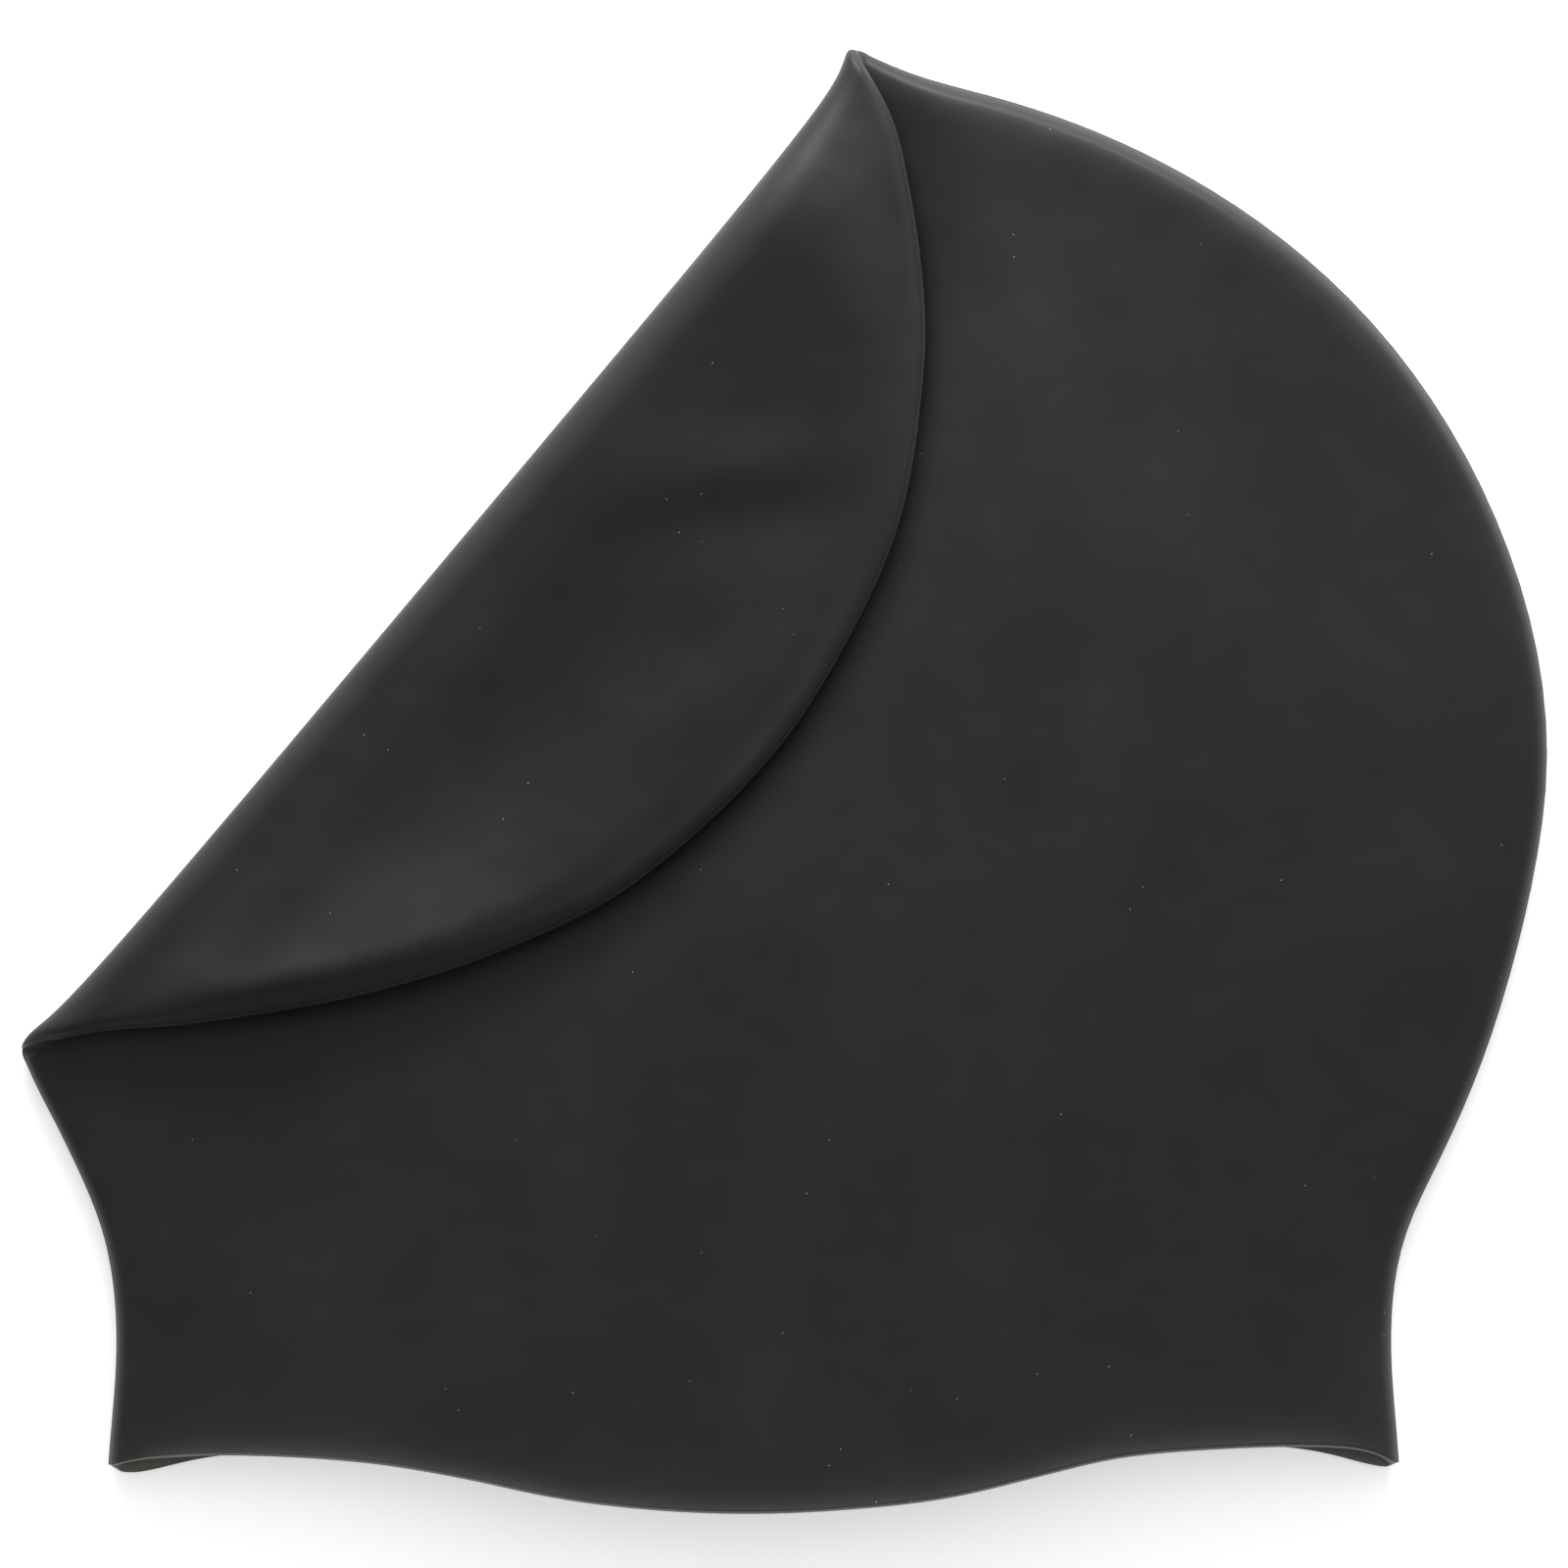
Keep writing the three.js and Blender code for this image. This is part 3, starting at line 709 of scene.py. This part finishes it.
# The sheet gets its thickness inwards, and its rim is rounded. Three empty slots let
# the wall number its faces.
OUTSIDE, INSIDE, RIM = range(3)
RIM_ROUND = 0.32
RIM_ANGLE = 75
SMOOTH_ANGLE = 50
for _ in (OUTSIDE, INSIDE, RIM):
    cap.data.materials.append(None)
apply_modifier(
    cap, "wall", "SOLIDIFY", thickness=WALL * MM, offset=-1, use_rim=True,
    material_offset=INSIDE, material_offset_rim=RIM,
)
apply_modifier(
    cap, "round_rim", "BEVEL", width=RIM_ROUND * MM, segments=2, limit_method="ANGLE",
    angle_limit=math.radians(RIM_ANGLE),
)

# Marks for the material: a painted highlight on the parting ridge and the rim's lip, and the inside of
# the cap
# Painted highlight: the parting ridge gets part of it, the rim's faces all of it, a paler colour
# standing in for the light the edge catches
RIDGE_HIGHLIGHT_PAINT = 0.4
ridge_tree = kdtree.KDTree(len(on_ridge))
for n, co in enumerate(on_ridge):
    ridge_tree.insert(co, n)
ridge_tree.balance()
painted_highlight_mark = cap.data.attributes.new("painted_highlight_mark", "FLOAT", "POINT")
inside_mark = cap.data.attributes.new("inside_mark", "FLOAT", "POINT")
for vertex in cap.data.vertices:
    if ridge_tree.find(vertex.co)[2] < MERGE_DISTANCE * MM:
        painted_highlight_mark.data[vertex.index].value = RIDGE_HIGHLIGHT_PAINT
for polygon in cap.data.polygons:
    for index in polygon.vertices:
        if polygon.material_index == INSIDE:
            inside_mark.data[index].value = 1
        if polygon.material_index == RIM:
            painted_highlight_mark.data[index].value = 1
    polygon.material_index = OUTSIDE
bpy.ops.object.select_all(action="DESELECT")
cap.select_set(True)
bpy.ops.object.shade_smooth_by_angle(angle=math.radians(SMOOTH_ANGLE))
cap.data.materials.clear()


def linear(hex_colour):
    """An sRGB hex colour as linear RGBA."""
    parts = [int(hex_colour[i : i + 2], 16) / 255 for i in (1, 3, 5)]
    return [c / 12.92 if c <= 0.04045 else ((c + 0.055) / 1.055) ** 2.4 for c in parts] + [1]


def add_node(tree, kind, settings=None, inputs=None):
    """A shader node with its settings, its values and its links."""
    node = tree.nodes.new(kind)
    for key, value in (settings or {}).items():
        setattr(node, key, value)
    for key, value in (inputs or {}).items():
        if isinstance(value, bpy.types.NodeSocket):
            tree.links.new(value, node.inputs[key])
        else:
            node.inputs[key].default_value = value
    return node


# Silicone rubber, pressed in a satin mould: black, with a soft sheen, a fine grain and
# shallow waves, wiped by hands into faint clouds and streaks, with a few specks of dust.
# Its rim and parting line carry a painted highlight, and its inside is painted a paler grey.
DUST_CELL = 1.6
DUST_SIZE = 0.055  # a speck's radius, as a share of its cell
DUST_RARITY = 0.78  # share of the cells that stay clean
DUST_GATHERING = 0.57  # above this value of its own clouds, specks may lie
STREAK_TURN = -35
STREAK_STRETCH = 0.35
# Strength of the painted highlight on the rim and the parting ridge
RIM_HIGHLIGHT_PAINT = 0.4
WAVE_HEIGHT = 0.5
GRAIN_HEIGHT = 0.02
GRAIN_STRENGTH = 0.25

# Noise patterns of the rubber: width of the largest features, detail, roughness
PATTERNS = {
    "clouds": (26, 3, 0.5),
    "streaks": (13, 2, 0.55),
    "dust": (15, 1, 0.5),
    "waves": (18, 2, 0.5),
    "grain": (0.35, 2, 0.6),
}

silicone = bpy.data.materials.new("silicone_rubber_satin_black")
silicone.use_nodes = True
tree = silicone.node_tree
tree.nodes.clear()
coords = add_node(tree, "ShaderNodeTexCoord").outputs["Object"]
streak_space = add_node(
    tree, "ShaderNodeMapping", None,
    {
        "Vector": coords,
        "Rotation": (0, 0, math.radians(STREAK_TURN)),
        "Scale": (1, STREAK_STRETCH, 1),
    },
).outputs["Vector"]

pattern = {}
for name, (size, detail, roughness) in PATTERNS.items():
    pattern[name] = add_node(
        tree, "ShaderNodeTexNoise", {"noise_dimensions": "3D"},
        {
            "Vector": streak_space if name == "streaks" else coords,
            "Scale": 1 / (size * MM),
            "Detail": detail,
            "Roughness": roughness,
        },
    ).outputs["Fac"]

# The wiped film: clouds and streaks together, from 0 for clean to 1 for dull
cloud_film = add_node(
    tree, "ShaderNodeMapRange", None,
    {"Value": pattern["clouds"], "From Min": 0.3, "From Max": 0.7, "To Min": 0, "To Max": 0.6},
).outputs["Result"]
streak_film = add_node(
    tree, "ShaderNodeMapRange", None,
    {"Value": pattern["streaks"], "From Min": 0.35, "From Max": 0.7, "To Min": 0, "To Max": 0.4},
).outputs["Result"]
film = add_node(
    tree, "ShaderNodeMath", {"operation": "ADD"}, {0: cloud_film, 1: streak_film}
).outputs[0]
gloss = add_node(
    tree, "ShaderNodeMapRange", None,
    {"Value": film, "From Min": 0, "From Max": 1, "To Min": 0.47, "To Max": 0.58},
).outputs["Result"]

# Dust: the middles of a few cells, where the dust has gathered
dust_cells = add_node(
    tree, "ShaderNodeTexVoronoi", {"voronoi_dimensions": "3D", "feature": "F1"},
    {"Vector": coords, "Scale": 1 / (DUST_CELL * MM)},
).outputs
cell_value = add_node(
    tree, "ShaderNodeSeparateColor", None, {"Color": dust_cells["Color"]}
).outputs["Red"]
in_speck = add_node(
    tree, "ShaderNodeMath", {"operation": "LESS_THAN"}, {0: dust_cells["Distance"], 1: DUST_SIZE}
).outputs[0]
in_dusty_cell = add_node(
    tree, "ShaderNodeMath", {"operation": "GREATER_THAN"}, {0: cell_value, 1: DUST_RARITY}
).outputs[0]
gathered = add_node(
    tree, "ShaderNodeMath", {"operation": "GREATER_THAN"}, {0: pattern["dust"], 1: DUST_GATHERING}
).outputs[0]
chosen = add_node(
    tree, "ShaderNodeMath", {"operation": "MULTIPLY"}, {0: in_speck, 1: in_dusty_cell}
).outputs[0]
specks = add_node(tree, "ShaderNodeMath", {"operation": "MULTIPLY"}, {0: chosen, 1: gathered}).outputs[0]

lip = add_node(tree, "ShaderNodeAttribute", {"attribute_name": "painted_highlight_mark"}).outputs["Fac"]
# The inside faces are painted a paler grey
paler_inside = add_node(tree, "ShaderNodeAttribute", {"attribute_name": "inside_mark"}).outputs["Fac"]
# Painted highlight: the rim and parting ridge are mixed toward a paler grey, standing in for the light
# caught by the edge
rim_painted_highlight = add_node(
    tree, "ShaderNodeMath", {"operation": "MULTIPLY"}, {0: lip, 1: RIM_HIGHLIGHT_PAINT}
).outputs[0]

# Colours laid over the black one by one: dull film, paler inside, painted highlight on the rim and
# parting line, dust
COLOUR_BELOW, COLOUR_ABOVE, COLOUR_OUT = 6, 7, 2
colour = linear("#141417")
for amount, above in (
    (film, "#1d1d21"),
    (paler_inside, "#6d6c66"),
    (rim_painted_highlight, "#7c7b76"),
    (specks, "#8d8c8f"),
):
    colour = add_node(
        tree, "ShaderNodeMix", {"data_type": "RGBA"},
        {"Factor": amount, COLOUR_BELOW: colour, COLOUR_ABOVE: linear(above)},
    ).outputs[COLOUR_OUT]

waves = add_node(
    tree, "ShaderNodeBump", None,
    {"Height": pattern["waves"], "Strength": 1.0, "Distance": WAVE_HEIGHT * MM},
).outputs["Normal"]
grain = add_node(
    tree, "ShaderNodeBump", None,
    {
        "Height": pattern["grain"],
        "Strength": GRAIN_STRENGTH,
        "Distance": GRAIN_HEIGHT * MM,
        "Normal": waves,
    },
).outputs["Normal"]
shader = add_node(
    tree, "ShaderNodeBsdfPrincipled", None,
    {
        "Base Color": colour,
        "Roughness": gloss,
        "Normal": grain,
        "IOR": 1.38,
        "Sheen Weight": 0.08,
        "Sheen Roughness": 0.45,
    },
).outputs["BSDF"]
add_node(tree, "ShaderNodeOutputMaterial", None, {"Surface": shader})
cap.data.materials.append(silicone)
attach(cap, "root")
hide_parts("cap")

# The table: a white laminate board that glows a little, as a light table does, so that
# its light shows along the cap's outline.
TABLE_SIZE = 4
TABLE_DROP = 0.0002
TABLE_GLOW = 0.45
bpy.ops.object.select_all(action="DESELECT")
bpy.ops.mesh.primitive_plane_add(size=TABLE_SIZE, location=(0, 0, -TABLE_DROP))
table = bpy.context.object
table.name = "table_top"
white = bpy.data.materials.new("white_laminate")
white.use_nodes = True
board = white.node_tree.nodes["Principled BSDF"]
board.inputs["Base Color"].default_value = linear("#fafafa")
board.inputs["Roughness"].default_value = 0.6
board.inputs["Emission Color"].default_value = linear("#ffffff")
board.inputs["Emission Strength"].default_value = TABLE_GLOW
table.data.materials.append(white)

# The room: white, dimmer overhead than at the walls, and brighter beyond the crown
# than on the rim's side.
WINDOW_SIDE = (0.15, 0.95, 0)
room = bpy.data.worlds.new("white_room")
bpy.context.scene.world = room
room.use_nodes = True
sky = room.node_tree
sky.nodes.clear()
direction = add_node(sky, "ShaderNodeTexCoord").outputs["Generated"]
parts = add_node(sky, "ShaderNodeSeparateXYZ", None, {"Vector": direction}).outputs
from_zenith = add_node(sky, "ShaderNodeMath", {"operation": "ARCCOSINE"}, {0: parts["Z"]}).outputs[0]
walls = add_node(
    sky, "ShaderNodeMapRange", None,
    {"Value": from_zenith, "From Min": 0.05, "From Max": 1.2, "To Min": 0.3, "To Max": 0.9},
).outputs["Result"]
toward_window = add_node(
    sky, "ShaderNodeVectorMath", {"operation": "DOT_PRODUCT"}, {0: direction, 1: WINDOW_SIDE}
).outputs["Value"]
from_window = add_node(
    sky, "ShaderNodeMapRange", None,
    {"Value": toward_window, "From Min": -0.6, "From Max": 1.0, "To Min": -0.45, "To Max": 0.66},
).outputs["Result"]
level = add_node(sky, "ShaderNodeMath", {"operation": "ADD"}, {0: walls, 1: from_window}).outputs[0]
light = add_node(
    sky, "ShaderNodeBackground", None, {"Color": linear("#ffffff"), "Strength": level}
).outputs["Background"]
add_node(sky, "ShaderNodeOutputWorld", None, {"Surface": light})

# The window: one soft light, low beyond the crown, whose slanting light shows every
# swell of the rubber.
WINDOW_PLACE = (0.04, 0.67, 0.23)
WINDOW_WIDTH = 0.7
WINDOW_HEIGHT = 0.22
WINDOW_POWER = 7.6
bpy.ops.object.light_add(type="AREA", location=WINDOW_PLACE)
window = bpy.context.object
window.name = "window_light"
window.data.shape = "RECTANGLE"
window.data.size = WINDOW_WIDTH
window.data.size_y = WINDOW_HEIGHT
window.data.energy = WINDOW_POWER
window.rotation_euler = (-Vector(WINDOW_PLACE)).to_track_quat("-Z", "Y").to_euler()

# The camera looks straight down, far enough away that the cap's height hardly shows
FRAME_WIDTH = 0.217
CAMERA_HEIGHT = 2.0
CAMERA_OFFSET = -0.0007
SENSOR_WIDTH = 36
bpy.ops.object.camera_add(location=(0, CAMERA_OFFSET, CAMERA_HEIGHT), rotation=(0, 0, 0))
camera = bpy.context.object
camera.name = "photo_camera"
camera.data.sensor_width = SENSOR_WIDTH
camera.data.lens = SENSOR_WIDTH * CAMERA_HEIGHT / FRAME_WIDTH
camera.data.clip_end = 10
scene = bpy.context.scene
scene.camera = camera
scene.view_settings.view_transform = "Standard"
scene.view_settings.look = "None"
